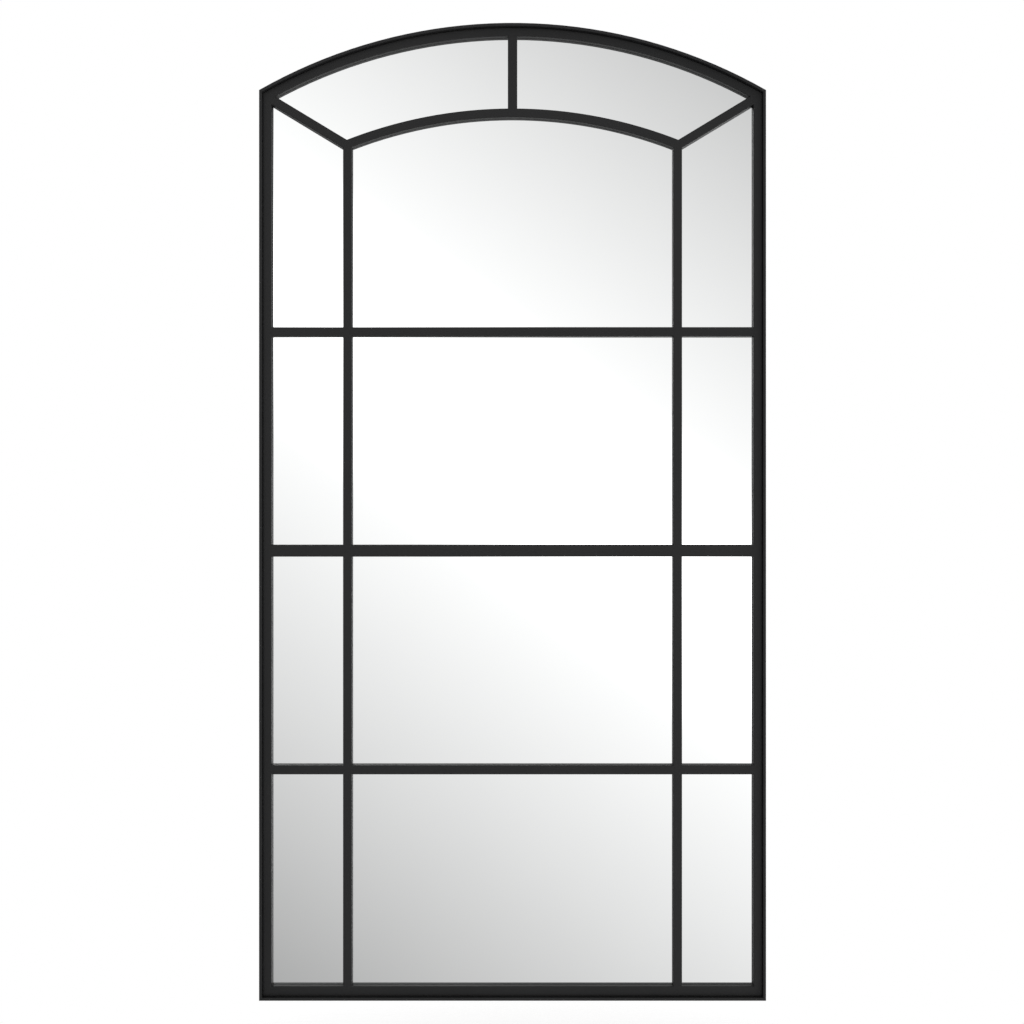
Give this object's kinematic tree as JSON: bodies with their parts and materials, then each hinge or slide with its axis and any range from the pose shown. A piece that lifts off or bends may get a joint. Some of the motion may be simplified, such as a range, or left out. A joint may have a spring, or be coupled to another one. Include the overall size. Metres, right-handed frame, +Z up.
{
  "type": "arched window mirror",
  "caption": "Tall arched window mirror: black welded steel grille over one mirror sheet, with backing board and swinging wall hangers.",
  "frame": {"origin": "on the wall plane, midway between the two hooks that the hanger rings hang on", "axes": "+Z up, -Y out of the mirror's face towards the viewer, +Y into the wall, +X to the viewer's right"},
  "size_m": [0.914, 0.044, 1.7629],
  "materials": {
    "black_steel": "satin powder coat",
    "mirror_sheet": "polished",
    "backing_board": "raw medium-density fibreboard",
    "foam": "matte closed-cell foam",
    "rubber": "matte",
    "zinc_plate": "zinc plated",
    "zinc_wire": "zinc plated",
    "zinc_screws": "zinc plated"
  },
  "bodies": {
    "frame": {"backing_board": "backing_board", "board_tabs": "black_steel", "bumper_lower_left": "rubber", "bumper_lower_right": "rubber", "bumper_upper_left": "rubber", "bumper_upper_right": "rubber", "corner_bar_left": "black_steel", "corner_bar_right": "black_steel", "crown_bar": "black_steel", "foam_pads": "foam", "hanger_screws": "zinc_screws", "hanger_strap_left": "zinc_plate", "hanger_strap_right": "zinc_plate", "head_bar": "black_steel", "hoop_arch": "black_steel", "hoop_bottom": "black_steel", "hoop_left": "black_steel", "hoop_right": "black_steel", "inner_arch_bar": "black_steel", "lower_crossbar_centre": "black_steel", "lower_crossbar_left": "black_steel", "lower_crossbar_right": "black_steel", "middle_crossbar_centre": "black_steel", "middle_crossbar_left": "black_steel", "middle_crossbar_right": "black_steel", "mirror_sheet": "mirror_sheet", "mullion_left": "black_steel", "mullion_right": "black_steel", "perimeter_tape": "foam", "setting_blocks": "rubber", "sill_bar": "black_steel", "stile_bar_left": "black_steel", "stile_bar_right": "black_steel", "upper_crossbar_centre": "black_steel", "upper_crossbar_left": "black_steel", "upper_crossbar_right": "black_steel"},
    "left_ring": {"hanger_ring_left": "zinc_wire"},
    "right_ring": {"hanger_ring_right": "zinc_wire"}
  },
  "joints": [
    {"name": "left_ring_swing", "type": "hinge", "parent": "frame", "child": "left_ring", "pos_m": [-0.33, -0.0047, -0.019], "axis": [1, 0, 0], "range_deg": [0, 180]},
    {"name": "right_ring_swing", "type": "hinge", "parent": "frame", "child": "right_ring", "pos_m": [0.33, -0.0047, -0.019], "axis": [1, 0, 0], "range_deg": [0, 180]}
  ]
}
